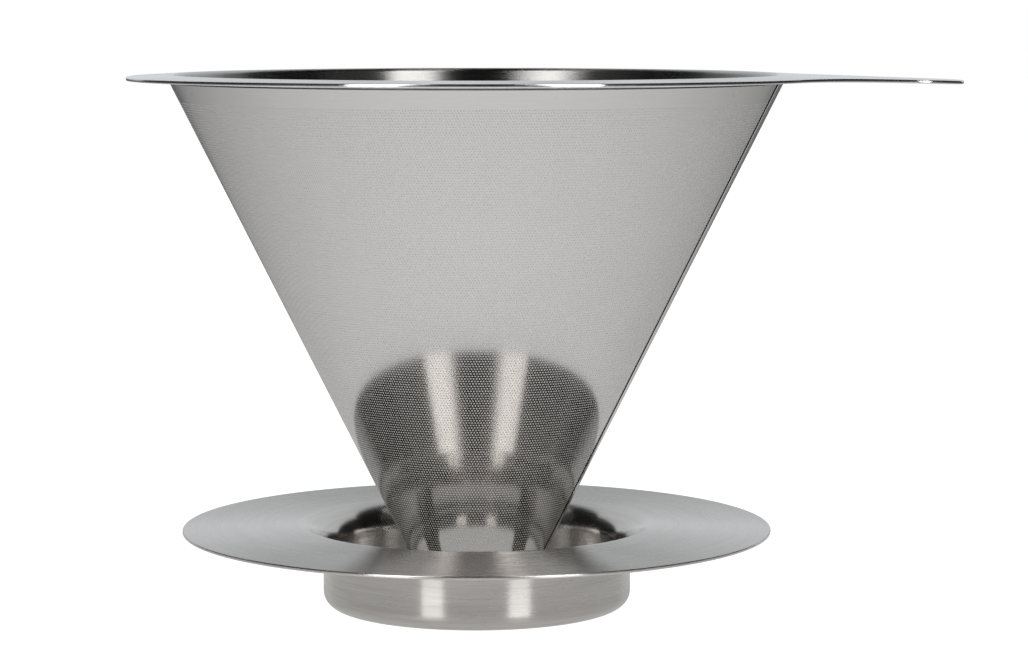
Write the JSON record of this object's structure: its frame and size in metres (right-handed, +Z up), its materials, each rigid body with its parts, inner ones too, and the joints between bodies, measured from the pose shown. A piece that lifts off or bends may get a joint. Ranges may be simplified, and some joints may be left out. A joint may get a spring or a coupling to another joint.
{
  "type": "pour over dripper",
  "caption": "Stainless pour over dripper: a perforated cone with a fine mesh lining under a flat rim with a tab handle, standing in a dished base with a short collar.",
  "frame": {"origin": "on the cone's axis, in the plane that the base stands on", "axes": "+Z up along the cone's axis, +X along the handle"},
  "size_m": [0.144, 0.12, 0.0927],
  "materials": {
    "brushed_base": "spun satin stainless steel",
    "satin_cap": "satin stainless steel",
    "etched_sheet": "etched stainless steel sheet with fine holes",
    "woven_mesh": "fine woven stainless steel mesh",
    "polished_ring": "bright satin stainless steel"
  },
  "bodies": {
    "base": {"base_dish": "brushed_base", "socket_ring": "brushed_base"},
    "filter": {"tip_cap": "satin_cap", "filter_cone": "etched_sheet", "inner_mesh": "woven_mesh", "rim_ring": "polished_ring"}
  },
  "joints": [
    {"name": "filter_lift", "type": "slide", "parent": "base", "child": "filter", "axis": [0, 0, 1], "range_m": [0, 0.04]}
  ]
}
